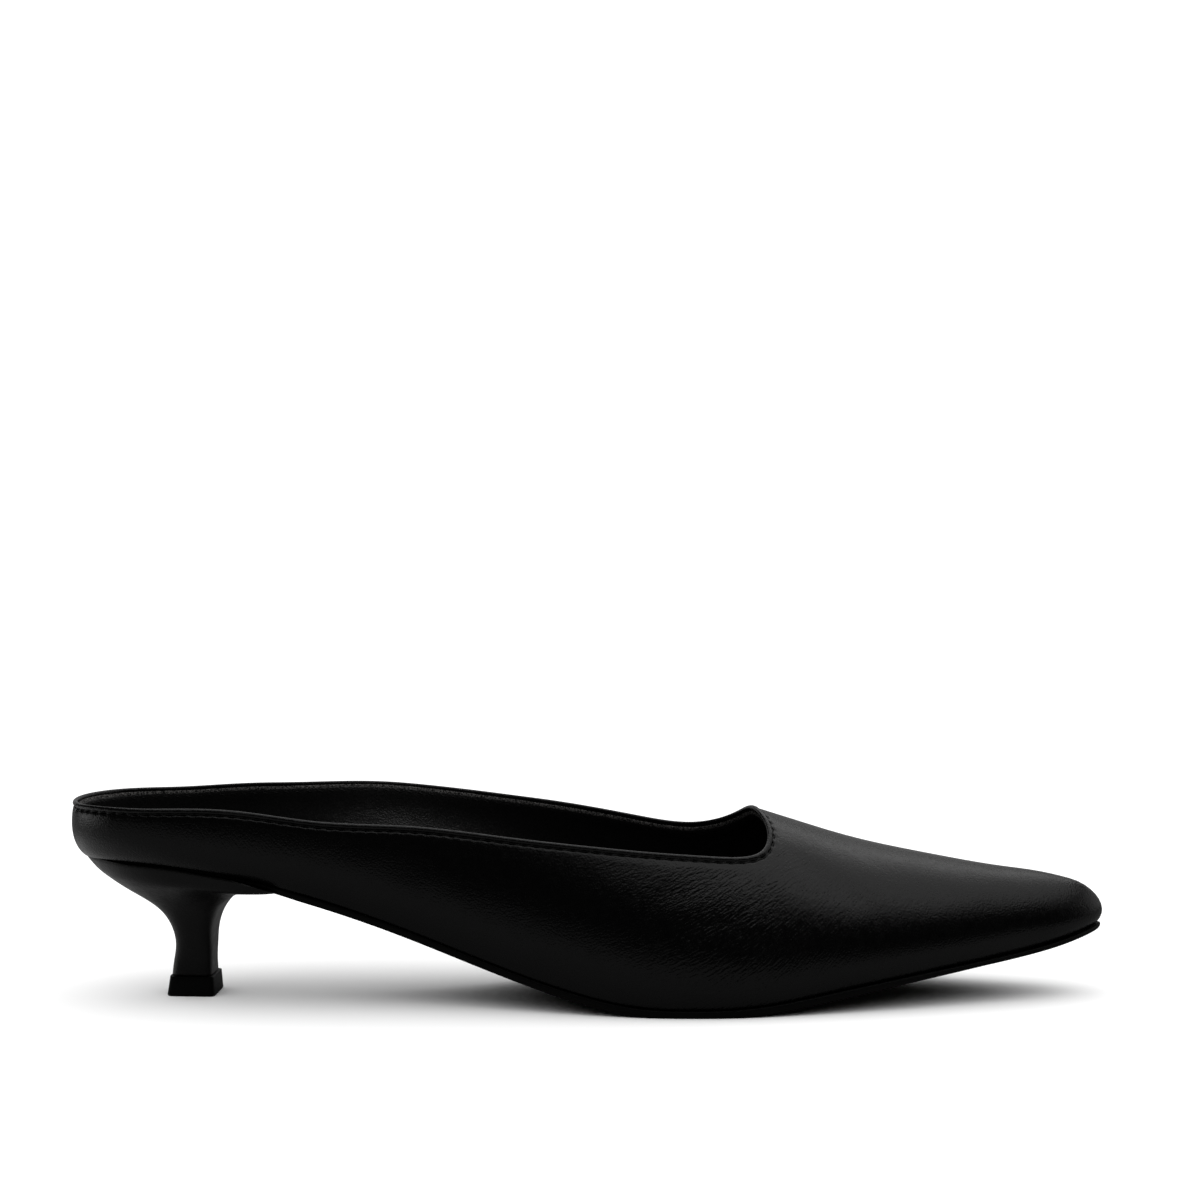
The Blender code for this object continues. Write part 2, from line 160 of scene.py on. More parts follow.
def lastLoop():  # sections in order: outer side from heel to toe, inner side back again
    table = np.array(list(lastSections.values()))
    outer = table[:, [not name.startswith("inner") for name in lastColumns]]
    inner = table[:, [not name.startswith("outer") for name in lastColumns]]
    chords = [np.linalg.norm(np.diff(side[:, :2], axis=0), axis=1) for side in (outer, inner)]
    place = np.append(0, np.cumsum(np.mean(chords, axis=0)))
    toe = place[-1]
    return np.append(place, 2 * toe - place[-2:0:-1]), np.vstack([outer, inner[-2:0:-1]]), toe


loopPlaces, loopRows, toePlace = lastLoop()
loopAt = splineThrough(loopPlaces, loopRows, period=2 * toePlace)
ribSteps = np.linspace(0, 1, sampling["rib"])[None, :]


def placeOfFoot(x, inner):
    places = np.linspace(0, toePlace, sampling["foot"])
    if inner:
        places = 2 * toePlace - places
    return np.interp(x, np.maximum.accumulate(loopAt(places)[:, 0]), places)


def placeOfRidge(x):
    places = np.linspace(0, toePlace, sampling["foot"])
    return np.interp(x, loopAt(places)[:, 2], places)


def ribsAt(place):
    row = loopAt(np.atleast_1d(place))[:, None, :]
    rib = {"foot": np.concatenate([row[..., :2], soleEdgeZ(row[..., 0])[..., None]], axis=-1)}
    rib["ridge"] = row[..., 2:5]
    inward = rib["ridge"][..., :2] - rib["foot"][..., :2]
    rib["reach"] = np.linalg.norm(inward, axis=-1)
    rib["inward"] = inward / rib["reach"][..., None]
    rib["height"] = rib["ridge"][..., 2] - rib["foot"][..., 2]
    rib["swell"], rib["rise"], rib["crown"] = row[..., 5], row[..., 6], row[..., 7]
    return rib


def ribPlane(rib, t):  # distance inwards and upwards from the foot
    b1, b2, b3 = 3 * t * (1 - t)**2, 3 * t**2 * (1 - t), t**3
    across = -b1 * rib["swell"] + b2 * (rib["reach"] - rib["crown"]) + b3 * rib["reach"]
    return across, b1 * rib["rise"] + (b2 + b3) * rib["height"]


def ribSpace(rib, across, up):
    plan = rib["foot"][..., :2] + rib["inward"] * across[..., None]
    return np.concatenate([plan, (rib["foot"][..., 2] + up)[..., None]], axis=-1)


def ribSquareness(place):  # cosine of the slant in plan between a rib and the square across the sole edge
    along = (loopAt(place + sampling["step"]) - loopAt(place - sampling["step"]))[:, :2]
    along /= np.linalg.norm(along, axis=1)[:, None]
    inward = ribsAt(place)["inward"][:, 0]
    return np.abs(inward[:, 0] * along[:, 1] - inward[:, 1] * along[:, 0])[:, None]


def ribGirths(rib):  # distance along each rib to its ridge
    across, up = ribPlane(rib, ribSteps)
    piece = np.hypot(np.diff(across), np.diff(up))
    arc = np.concatenate([np.zeros((len(piece), 1)), np.cumsum(piece, axis=1)], axis=1)
    return arc[:, -1:] - arc


def patternPoint(place, girth):  # the last laid flat: each rib stretched straight out from its ridge
    rib = ribsAt(place)
    return rib["ridge"][:, 0, :2] - rib["inward"][:, 0] * np.asarray(girth)[..., None]


ribGrid = np.linspace(0, 2 * toePlace, sampling["loop"])
gridRibs = ribsAt(ribGrid)


def onLast(pattern):  # points of the last under points of the flat pattern
    ridge, outward = gridRibs["ridge"][:, 0, :2], -gridRibs["inward"][:, 0]
    away = pattern[:, None, :] - ridge[None]
    side = outward[:, 0] * away[..., 1] - outward[:, 1] * away[..., 0]
    along = np.sum(outward * away, axis=-1)
    crossing = (side[:, :-1] * side[:, 1:] <= 0) & (along[:, :-1] > -sampling["ridgeSlack"])
    i = np.argmax(np.where(crossing, along[:, :-1], -1e9), axis=1)
    k = np.arange(len(pattern))
    turn = side[k, i] - side[k, i + 1]
    share = np.where(turn == 0, 0, side[k, i] / np.where(turn == 0, 1, turn))
    place = ribGrid[i] + share * (ribGrid[i + 1] - ribGrid[i])
    girth = np.maximum(along[k, i] + share * (along[k, i + 1] - along[k, i]), 0)
    rib = ribsAt(place)
    t = [np.interp(-wanted, -row, ribSteps[0]) for wanted, row in zip(girth, ribGirths(rib))]
    return ribSpace(rib, *ribPlane(rib, np.array(t)[:, None]))[:, 0]


def edgeRows():  # corners of the topline on the flat pattern, and the foot of the rib that runs to each
    points, feet = [], []

    def quarter(x, height, inner):
        place = placeOfFoot(x, inner)
        rib = ribsAt(place)
        up = ribPlane(rib, ribSteps)[1][0]
        girth = np.interp(height - rib["foot"][0, 0, 2], up, ribGirths(rib)[0])
        points.append(patternPoint(place, [girth])[0])
        feet.append(float(place))

    rows = list(quarterEdge.values())
    for x, outerZ, innerZ in rows:
        quarter(x, outerZ, False)
    for ridgeX, girth, footX in throatEdge.values():
        inner = girth > 0
        place = placeOfRidge(ridgeX)
        points.append(patternPoint(2 * toePlace - place if inner else place, [abs(girth)])[0])
        feet.append(float(placeOfFoot(footX, inner)))
    for x, outerZ, innerZ in rows[:0:-1]:
        quarter(x, innerZ, True)
    return np.array(points), np.array(feet)


def topline(columns):  # foot, edge and the way down from the edge, on the flat pattern, all round
    points, feet = edgeRows()
    chord = np.linalg.norm(np.roll(points, -1, axis=0) - points, axis=1)
    knots = np.append(0, np.cumsum(chord))
    edgeAt = splineThrough(knots[:-1], points, period=knots[-1])
    fine = np.linspace(0, knots[-1], sampling["edge"])
    foot = np.interp(fine, knots, np.append(feet, 2 * toePlace))
    ahead = (loopAt(foot + sampling["turnStep"]) - loopAt(foot - sampling["turnStep"]))[:, :2]
    turned = np.append(0, np.cumsum(np.abs(np.diff(np.unwrap(np.arctan2(ahead[:, 1], ahead[:, 0]))))))
    spread = fine / fine[-1] + foot / foot[-1] + turned / turned[-1]
    edge = np.interp(np.linspace(0, 3, columns, endpoint=False), spread, fine)
    foot = np.interp(edge, fine, foot)
    along = edgeAt(edge + sampling["step"]) - edgeAt(edge - sampling["step"])
    down = np.stack([along[:, 1], -along[:, 0]], axis=1)
    down /= np.linalg.norm(down, axis=1)[:, None]
    start = patternPoint(foot, ribGirths(ribsAt(foot))[:, 0])
    down *= np.sign(np.sum(down * (start - edgeAt(edge)), axis=1))[:, None]
    return start, edgeAt(edge), down


def toFrame(points):
    return (np.asarray(points) - (shoe["centreX"], shoe["centreY"], 0)) * mm


# Meshes

mergeDistance = 0.002 * mm


def meshObject(name, vertices, faces, materials, faceMaterials=None):
    mesh = bpy.data.meshes.new(name)
    mesh.from_pydata([tuple(v) for v in vertices], [], [tuple(f) for f in faces])
    for material in materials:
        mesh.materials.append(material)
    if faceMaterials is not None:
        mesh.polygons.foreach_set("material_index", np.asarray(faceMaterials, np.int32))
    bm = bmesh.new()
    bm.from_mesh(mesh)
    bmesh.ops.remove_doubles(bm, verts=bm.verts, dist=mergeDistance)
    bmesh.ops.dissolve_degenerate(bm, edges=bm.edges, dist=mergeDistance)
    bmesh.ops.recalc_face_normals(bm, faces=bm.faces)
    bm.to_mesh(mesh)
    bm.free()
    mesh.shade_smooth()
    piece = bpy.data.objects.new(name, mesh)
    bpy.context.scene.collection.objects.link(piece)
    return piece


def ringFaces(rings, count, closed):  # quads between rings that follow each other
    faces = []
    for r in range(rings if closed else rings - 1):
        low, high = r * count, (r + 1) % rings * count
        for i in range(count):
            j = (i + 1) % count
            faces.append((low + i, low + j, high + j, high + i))
    return faces


def capFaces(first, count):  # ladder of quads across a ring
    faces = []
    for i in range(count // 2):
        corners = (i, i + 1, count - i - 1, (count - i) % count)
        faces.append(tuple(first + c for c in dict.fromkeys(corners)))
    return faces


def finishPiece(piece, slot, *nodes):
    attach(piece, "root")
    if nodes:
        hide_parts(*nodes)
    print("piece:", piece.name, len(piece.data.polygons), "faces")


# Materials

def newMaterial(name):
    material = bpy.data.materials.new(name)
    material.use_nodes = True
    return material, material.node_tree, material.node_tree.nodes["Principled BSDF"]


def addNode(tree, kind, **sockets):
    node = tree.nodes.new(kind)
    for name, value in sockets.items():
        node.inputs[name].default_value = value
    return node


def addRamp(tree, source, stops):  # stops: place and grey or colour
    ramp = tree.nodes.new("ShaderNodeValToRGB")
    while len(ramp.color_ramp.elements) < len(stops):
        ramp.color_ramp.elements.new(0.5)
    for element, (place, colour) in zip(ramp.color_ramp.elements, stops):
        element.position = place
        element.color = (*colour, 1) if isinstance(colour, tuple) else (colour, colour, colour, 1)
    tree.links.new(source, ramp.inputs["Fac"])
    return ramp.outputs["Color"]


def addBump(tree, height, depth, before=None):
    bump = addNode(tree, "ShaderNodeBump", Strength=1.0, Distance=depth * mm)
    tree.links.new(height, bump.inputs["Height"])
    if before:
        tree.links.new(before, bump.inputs["Normal"])
    return bump.outputs["Normal"]


def addMath(tree, operation, first, second):
    node = tree.nodes.new("ShaderNodeMath")
    node.operation = operation
    for socket, value in zip(node.inputs, (first, second)):
        if isinstance(value, (int, float)):
            socket.default_value = value
        else:
            tree.links.new(value, socket)
    return node.outputs[0]


def addRange(tree, source, span, ends):  # soft step from one end to the other over the span
    node = tree.nodes.new("ShaderNodeMapRange")
    node.interpolation_type = "SMOOTHSTEP"
    for name, value in zip(("From Min", "From Max", "To Min", "To Max"), (*span, *ends)):
        node.inputs[name].default_value = value
    tree.links.new(source, node.inputs["Value"])
    return node.outputs["Result"]


def leatherMaterial(name, look):
    material, tree, shader = newMaterial(name)
    place = tree.nodes.new("ShaderNodeTexCoord").outputs["Object"]

    def noise(size, detail=2.0):
        node = addNode(tree, "ShaderNodeTexNoise", Scale=1 / (size * mm), Detail=detail)
        tree.links.new(place, node.inputs["Vector"])
        return node.outputs["Fac"]

    cells = addNode(tree, "ShaderNodeTexVoronoi", Scale=1 / (look["grainSize"] * mm), Randomness=1.0)
    cells.feature = "SMOOTH_F1"
    cells.inputs["Smoothness"].default_value = 0.35
    tree.links.new(place, cells.inputs["Vector"])
    pebbles = addMath(tree, "SUBTRACT", 1.0, cells.outputs["Distance"])
    normal = addBump(tree, noise(look["unevenSize"]), look["unevenDepth"])
    normal = addBump(tree, pebbles, look["grainDepth"], normal)
    if "streakDepth" in look:  # fine wrinkles that follow the hide
        lie = tree.nodes.new("ShaderNodeUVMap")
        lie.uv_map = "hide"
        squeeze = (1 / look["streakLength"], 1 / look["streakWidth"], 1)
        streaks = addNode(tree, "ShaderNodeMapping", Scale=squeeze)
        tree.links.new(lie.outputs["UV"], streaks.inputs["Vector"])
        lines = addNode(tree, "ShaderNodeTexNoise", Scale=1.0, Detail=0.6, Distortion=0.4)
        tree.links.new(streaks.outputs["Vector"], lines.inputs["Vector"])
        pulled = tree.nodes.new("ShaderNodeAttribute")
        pulled.attribute_name = "pulled"
        height = addMath(tree, "MULTIPLY", lines.outputs["Fac"], pulled.outputs["Fac"])
        normal = addBump(tree, height, look["streakDepth"], normal)
    tree.links.new(normal, shader.inputs["Normal"])
    tone = addRamp(tree, noise(look["toneSize"], 3.0), ((0.3, look["dark"]), (0.7, look["light"])))
    tree.links.new(tone, shader.inputs["Base Color"])
    rough = addRamp(tree, noise(look["grainSize"] * 4), ((0.3, look["smooth"]), (0.7, look["rough"])))
    tree.links.new(rough, shader.inputs["Roughness"])
    shader.inputs["Specular IOR Level"].default_value = look["specular"]
    if "coat" in look:
        shader.inputs["Coat Weight"].default_value = look["coat"]
        shader.inputs["Coat Roughness"].default_value = look["coatRough"]
    return material


# Looks: sizes and depths in millimetres, roughness from smooth to rough
blackHide = {
    "dark": (0.0022, 0.0022, 0.0024), "light": (0.0038, 0.0037, 0.0038), "specular": 0.5,
    "grainSize": 0.45, "grainDepth": 0.05,
}
upperLook = {
    **blackHide, "toneSize": 9.0, "smooth": 0.22, "rough": 0.30, "unevenSize": 14.0, "unevenDepth": 0.25,
    "streakLength": 2.0, "streakWidth": 0.6, "streakDepth": 0.15,
}
heelLook = {
    **blackHide, "toneSize": 8.0, "smooth": 0.32, "rough": 0.42, "unevenSize": 11.0, "unevenDepth": 0.12,
}
liningLook = {
    "dark": (0.011, 0.011, 0.0113), "light": (0.018, 0.0177, 0.0174), "toneSize": 7.0,
    "smooth": 0.28, "rough": 0.42, "specular": 1.0, "coat": 0.6, "coatRough": 0.3,
    "grainSize": 0.4, "grainDepth": 0.13, "unevenSize": 9.0, "unevenDepth": 0.3,
}
sockLook = {
    "dark": (0.010, 0.010, 0.0103), "light": (0.016, 0.0157, 0.0155), "toneSize": 11.0,
    "smooth": 0.48, "rough": 0.62, "specular": 0.5,
    "grainSize": 0.75, "grainDepth": 0.5, "unevenSize": 16.0, "unevenDepth": 0.3,
}
upperLeather = leatherMaterial("upperLeather", upperLook)
heelLeather = leatherMaterial("heelLeather", heelLook)
liningLeather = leatherMaterial("liningLeather", liningLook)
sockLeather = leatherMaterial("sockLeather", sockLook)


def speckledMaterial(name, look):  # one noise gives the tones, the relief and, where asked, the gloss
    material, tree, shader = newMaterial(name)
    place = tree.nodes.new("ShaderNodeTexCoord").outputs["Object"]
    specks = addNode(tree, "ShaderNodeTexNoise", Scale=1 / (look["size"] * mm), Detail=look["detail"])
    specks.inputs["Roughness"].default_value = look["raggedness"]
    tree.links.new(place, specks.inputs["Vector"])
    tree.links.new(addRamp(tree, specks.outputs["Fac"], look["tones"]), shader.inputs["Base Color"])
    tree.links.new(addBump(tree, specks.outputs["Fac"], look["depth"]), shader.inputs["Normal"])
    if "gloss" in look:
        tree.links.new(addRamp(tree, specks.outputs["Fac"], look["gloss"]), shader.inputs["Roughness"])
    else:
        shader.inputs["Roughness"].default_value = look["roughness"]
    shader.inputs["Specular IOR Level"].default_value = look["specular"]
    return material


fibreAndGlintLook = {  # pale fibres in the cut edge of the lining, with painted glints where they catch the light from above
    "size": 0.5, "detail": 4.0, "raggedness": 0.7, "depth": 0.15, "roughness": 0.9, "specular": 0.2,
    "tones": ((0.42, (0.012, 0.012, 0.012)), (0.62, (0.34, 0.33, 0.32))),
}
rubberLook = {  # sole and top piece: moulded, faintly mottled
    "detail": 3.0, "raggedness": 0.5, "depth": 0.04, "specular": 0.2,
    "tones": ((0.35, 0.006), (0.7, 0.009)), "gloss": ((0.3, 0.44), (0.7, 0.56)),
}
threadLook = {
    "size": 0.22, "detail": 2.0, "raggedness": 0.5, "depth": 0.06, "roughness": 0.45, "specular": 0.5,
    "tones": ((0.35, 0.006), (0.7, 0.016)),
}
fibreAndGlintEdge = speckledMaterial("liningCutEdge", fibreAndGlintLook)
soleRubber = speckledMaterial("soleRubber", {**rubberLook, "size": 0.8})
liftRubber = speckledMaterial("liftRubber", {**rubberLook, "size": 0.6})
thread = speckledMaterial("thread", threadLook)
print("materials:", len(bpy.data.materials))


# Upper

upper = {
    "columns": 1200, "rows": 34, "backRows": 6,
    "leather": 0.9,        # thickness of the outer leather
    "below": 4.2,          # where the rows up the last end and the folded border begins
    "tuck": 0.25,          # the leather turns in over the sole edge
    "pitch": 3.0,          # stitch length with its gap
    "stitchBelow": 1.45,   # stitch line under the topline
    "pucker": 0.08,        # how far the leather swells between the needle holes
    "puckerSpread": 0.55,
    "pit": 0.18,           # depth of a needle hole
    "pitRadius": 0.42,     # along the row
    "pitSpread": 0.32,     # across it
    "soleGap": 0.05,       # left between the leather and the sole
    "foldRows": 7,         # rows of the border that lie inside the shoe
}

# Folded border from the wall up and over: distance below the edge, height above the last
border = (
    (3.4, 0.02), (2.6, 0.03), (2.1, 0.02), (1.85, -0.06), (1.68, -0.20), (1.52, -0.31), (1.38, -0.33),
    (1.26, -0.20), (1.16, 0.04), (1.02, 0.22), (0.82, 0.33), (0.58, 0.35), (0.34, 0.28), (0.14, 0.14),
    (0.0, -0.08), (-0.04, -0.32), (0.04, -0.56), (0.20, -0.76), (0.48, -0.90), (0.9, -0.95), (1.5, -0.92),
)

# Soft creases: ends as ridge x and girth (outer side minus), width, depth (ridge: minus)
creases = {
    "throat corner": ((184.0, -20.0), (204.0, -30.0), 4.5, 0.30),
    "throat shoulder": ((176.0, -27.0), (190.0, -37.0), 5.0, -0.22),
    "joint upper": ((150.0, -43.0), (168.0, -36.0), 3.5, 0.22),
    "joint lower": ((156.0, -50.0), (176.0, -42.0), 3.5, 0.20),
    "inner throat": ((176.0, 18.0), (196.0, 30.0), 4.5, 0.28),
    "inner joint upper": ((150.0, 38.0), (166.0, 33.0), 3.5, 0.20),
    "inner joint lower": ((154.0, 46.0), (174.0, 39.0), 3.5, 0.18),
    "outer waist": ((82.0, -46.0), (98.0, -39.0), 5.0, 0.15),
    "inner waist": ((84.0, 37.0), (100.0, 31.0), 5.0, 0.15),
    "vamp middle": ((192.0, -7.0), (214.0, -4.0), 8.0, 0.20),
}


def creaseDepth(pattern):
    depth = np.zeros(len(pattern))
    for first, second, width, deep in creases.values():
        ends = []
        for x, girth in (first, second):
            place = placeOfRidge(x)
            ends.append(patternPoint(2 * toePlace - place if girth > 0 else place, [abs(girth)])[0])
        along = ends[1] - ends[0]
        share = np.clip((pattern - ends[0]) @ along / (along @ along), 0, 1)
        away = np.linalg.norm(pattern - ends[0] - share[:, None] * along, axis=1)
        fade = np.sin(np.pi * (0.08 + 0.84 * share))  # shallow at both ends
        depth += deep * np.exp(-(away / width)**2) * fade
    return depth


def wallNormals(grid):  # outwards, from the rows and columns of a grid round the upper
    up = np.gradient(grid, axis=0)
    along = np.roll(grid, -1, axis=1) - np.roll(grid, 1, axis=1)
    normal = np.cross(along, up)
    return normal / np.linalg.norm(normal, axis=-1, keepdims=True)


rowLean = {"reach": (12, 90), "power": (1.1, 2.0)}  # on longer ribs the rows crowd towards the sole edge


def wallRows(columns, count, below):  # flat-pattern rows from the sole edge to a distance below the topline
    start, edge, down = topline(columns)
    reach = edge + down * below - start
    lean = np.interp(np.linalg.norm(reach, axis=1), rowLean["reach"], rowLean["power"])
    return [start + reach * ((k / count) ** lean)[:, None] for k in range(count + 1)], edge, down


def loopLengths(points):
    piece = np.linalg.norm(np.roll(points, -1, axis=0) - points, axis=1)
    return np.append(0, np.cumsum(piece))


# Slant of the fine wrinkles along the shoe, in degrees, and the first x, last x and points it is laid over
hideSlope = {
    "x": (0, 40, 90, 150, 185, 215, 264), "slant": (-55, -55, -20, 34, 50, 60, 60), "span": (-60, 330, 400),
}


def hideMap(pattern):  # flat pattern sheared so that u runs along the wrinkles
    x = np.linspace(*hideSlope["span"])
    tilt = np.tan(np.radians(np.interp(x, hideSlope["x"], hideSlope["slant"])))
    drop = np.append(0, np.cumsum((tilt[1:] + tilt[:-1]) / 2 * np.diff(x)))
    return np.stack([pattern[:, 0], pattern[:, 1] - np.interp(pattern[:, 0], x, drop)], axis=1)


# Where fine wrinkles show: strength, middle and spread along x
# Fades: the share lost, and the x (toe) or distance from the ridge where that begins and ends
wrinkles = {
    "everywhere": 0.15, "throat": (0.85, 168, 26), "heel": (0.2, 40, 30),
    "toeFade": (0.7, 205, 250), "ridgeFade": (0.65, 10, 26), "ridgeY": -3,
}


def wrinkleStrength(pattern):
    x, y = pattern.T
    strength = np.full(len(x), wrinkles["everywhere"])
    for much, middle, spread in (wrinkles["throat"], wrinkles["heel"]):
        strength += much * np.exp(-((x - middle) / spread)**2)
    much, low, high = wrinkles["toeFade"]
    strength *= 1 - much * smoothStep(low, high, x)
    much, low, high = wrinkles["ridgeFade"]
    return strength * (1 - much + much * smoothStep(low, high, np.abs(y - wrinkles["ridgeY"])))


def buildUpper():
    rows, edge, down = wallRows(upper["columns"], upper["rows"], upper["below"])
    lifts = [np.zeros(upper["columns"]) for row in rows]
    stitchLine = edge + down * upper["stitchBelow"]
    for below, lift in border:
        rows.append(edge + down * below)
        lifts.append(np.full(upper["columns"], lift))
    grid = np.array([onLast(row) for row in rows])
    normal = wallNormals(grid)
    fold = len(rows) - upper["foldRows"]
    normal[fold:] = normal[fold - 2]  # over the fold the rows run down again
    lengths = loopLengths(onLast(stitchLine))
    phase = lengths[:-1] / lengths[-1] * round(lengths[-1] / upper["pitch"])
    pucker = np.cos(2 * np.pi * phase)
    holeAway = np.abs(phase % 1 - 0.5) * upper["pitch"]
    pit = np.exp(-(holeAway / upper["pitRadius"])**2)
    pattern = np.array(rows)
    for k, row in enumerate(rows):
        if k <= upper["rows"]:
            lifts[k] = lifts[k] - creaseDepth(row)
        else:
            away = border[k - upper["rows"] - 1][0] - upper["stitchBelow"]
            outside = k < fold
            swell = outside * upper["pucker"] * math.exp(-(away / upper["puckerSpread"])**2)
            sink = outside * upper["pit"] * math.exp(-(away / upper["pitSpread"])**2)
            lifts[k] = lifts[k] + swell * pucker - sink * pit
    skin = grid + normal * np.array(lifts)[..., None]
    tucked = skin[0] - normal[0] * upper["tuck"]
    tucked[:, 2] -= shoe["gap"] - upper["soleGap"]
    back = np.linspace(upper["rows"] - 2, 0, upper["backRows"]).astype(int)
    hidden = grid[back] - normal[back] * upper["leather"]
    rings = np.concatenate([[tucked], skin, hidden])
    flat = np.concatenate([pattern[:1], pattern, pattern[back]])
    count = upper["columns"]
    faces = ringFaces(len(rings), count, closed=True)
    piece = meshObject("upper_leather", toFrame(rings.reshape(-1, 3)), faces, [upperLeather])
    mesh = piece.data
    hide = np.array([hideMap(row) for row in flat]).reshape(-1, 2)
    uv = mesh.uv_layers.new(name="hide")
    corner = np.empty(len(mesh.loops), np.int32)
    mesh.loops.foreach_get("vertex_index", corner)
    uv.data.foreach_set("uv", hide[corner].astype(np.float32).ravel())
    pulled = wrinkleStrength(flat.reshape(-1, 2))
    pulled[np.arange(len(pulled)) // count > upper["rows"] + 2] = 0  # the folded border is smooth
    mesh.attributes.new("pulled", "FLOAT", "POINT").data.foreach_set("value", pulled.astype(np.float32))
    finishPiece(piece, "upper_leather", "upper")


buildUpper()


# Lining

lining = {
    "columns": 480, "rows": 22, "backRows": 6,
    "below": 8.0,
    "hidden": 1.0,         # face glued to the leather
    "cutFrom": 6,          # row of the list below where the cut edge begins
    "cutRows": 5,
    "turnedRows": 4,       # last rows of it, which turn in to the leather
}

# Inner face from the wall up to the cut edge: distance below the topline, depth into the shoe
liningTop = (
    (5.8, 1.84), (4.6, 1.98), (3.6, 2.10), (2.8, 2.16), (2.1, 2.14), (1.6, 2.06), (1.3, 1.94), (1.02, 1.72),
    (0.82, 1.50), (0.76, 1.34), (0.76, 1.18), (0.9, 1.02),
)


def buildLining():
    rows, edge, down = wallRows(lining["columns"], lining["rows"], lining["below"])
    depths = [shoe["wall"]] * len(rows)
    for below, depth in liningTop:
        rows.append(edge + down * below)
        depths.append(depth)
    grid = np.array([onLast(row) for row in rows])
    normal = wallNormals(grid)
    turned = len(rows) - lining["turnedRows"]
    normal[turned:] = normal[turned - 2]
    inner = grid - normal * np.array(depths)[:, None, None]
    back = np.linspace(lining["rows"], 0, lining["backRows"]).astype(int)
    hidden = grid[back] - normal[back] * lining["hidden"]
    rings = np.concatenate([inner, hidden])
    count = lining["columns"]
    faces = ringFaces(len(rings), count, closed=True)
    cutFrom = lining["rows"] + 1 + lining["cutFrom"]
    # the cut rows get the cut edge's pale fibres and their painted glints
    cut = [cutFrom <= k // count < cutFrom + lining["cutRows"] for k in range(len(faces))]
    piece = meshObject("lining", toFrame(rings.reshape(-1, 3)), faces, [liningLeather, fibreAndGlintEdge], cut)
    finishPiece(piece, "sock_leather")


buildLining()


# Stitches

stitch = {
    "length": 2.2, "width": 0.4, "height": 0.32, "slant": 20.0, "jitter": 0.05, "seed": 4,
    "outsideLift": -0.2,   # sunk into the leather
    "insideBelow": 2.3,    # row on the lining, under the topline
    "insideLift": -2.08,
    "probe": 0.6,          # distance of the rows beside the line that give its normal
}


def stitchTree():
    tree = bpy.data.node_groups.new("stitchRow", "GeometryNodeTree")

    def socket(name, kind, way="INPUT"):
        return tree.interface.new_socket(name, in_out=way, socket_type="NodeSocket" + kind).identifier

    socket("Path", "Geometry")
    numbers = ("Pitch", "Length", "Width", "Height", "Slant", "Jitter")
    sockets = {name: socket(name, "Float") for name in numbers}
    sockets["Seed"] = socket("Seed", "Int")
    sockets["Thread"] = socket("Thread", "Material")
    socket("Stitches", "Geometry", "OUTPUT")
    given = tree.nodes.new("NodeGroupInput").outputs
    made = tree.nodes.new("NodeGroupOutput")

    def node(kind, **links):
        new = tree.nodes.new(kind)
        for name, source in links.items():
            tree.links.new(source, new.inputs[name])
        return new

    path = node("GeometryNodeMeshToCurve", Mesh=given["Path"])
    spaced = node("GeometryNodeResampleCurve", Curve=path.outputs["Curve"])
    spaced.mode = "LENGTH"
    tree.links.new(given["Pitch"], spaced.inputs["Length"])
    size = node("ShaderNodeCombineXYZ", X=given["Length"], Y=given["Width"], Z=given["Height"])
    bead = node("GeometryNodeMeshUVSphere")
    bead.inputs["Segments"].default_value = 8
    bead.inputs["Rings"].default_value = 6
    bead.inputs["Radius"].default_value = 0.5
    shaped = node("GeometryNodeTransform", Geometry=bead.outputs["Mesh"], Scale=size.outputs["Vector"])
    tangent = node("GeometryNodeInputTangent").outputs["Tangent"]
    ahead = node("FunctionNodeAlignRotationToVector", Vector=tangent)
    ahead.axis = "X"
    outward = node("GeometryNodeInputNamedAttribute")
    outward.data_type = "FLOAT_VECTOR"
    outward.inputs["Name"].default_value = "outward"
    seated = node("FunctionNodeAlignRotationToVector", Rotation=ahead.outputs["Rotation"])
    tree.links.new(outward.outputs["Attribute"], seated.inputs["Vector"])
    seated.axis = "Z"
    seated.pivot_axis = "X"
    wander = node("FunctionNodeRandomValue", Seed=given["Seed"])
    wander.data_type = "FLOAT"
    wander.inputs["Min"].default_value = -1.0
    wander.inputs["Max"].default_value = 1.0
    loose = node("ShaderNodeMath")
    loose.operation = "MULTIPLY_ADD"
    for plug, source in zip(loose.inputs, (wander.outputs[1], given["Jitter"], given["Slant"])):
        tree.links.new(source, plug)
    lean = node("ShaderNodeCombineXYZ", Z=loose.outputs[0])
    twist = node("FunctionNodeEulerToRotation", Euler=lean.outputs["Vector"])
    turned = node("FunctionNodeRotateRotation", Rotation=seated.outputs["Rotation"])
    turned.rotation_space = "LOCAL"
    tree.links.new(twist.outputs["Rotation"], turned.inputs["Rotate By"])
    row = node("GeometryNodeInstanceOnPoints", Points=spaced.outputs["Curve"])
    tree.links.new(shaped.outputs["Geometry"], row.inputs["Instance"])
    tree.links.new(turned.outputs["Rotation"], row.inputs["Rotation"])
    real = node("GeometryNodeRealizeInstances", Geometry=row.outputs["Instances"])
    smooth = node("GeometryNodeSetShadeSmooth", Geometry=real.outputs["Geometry"])
    dressed = node("GeometryNodeSetMaterial", Geometry=smooth.outputs["Geometry"], Material=given["Thread"])
    tree.links.new(dressed.outputs["Geometry"], made.inputs["Stitches"])
    return tree, sockets


stitchNodes, stitchSockets = stitchTree()


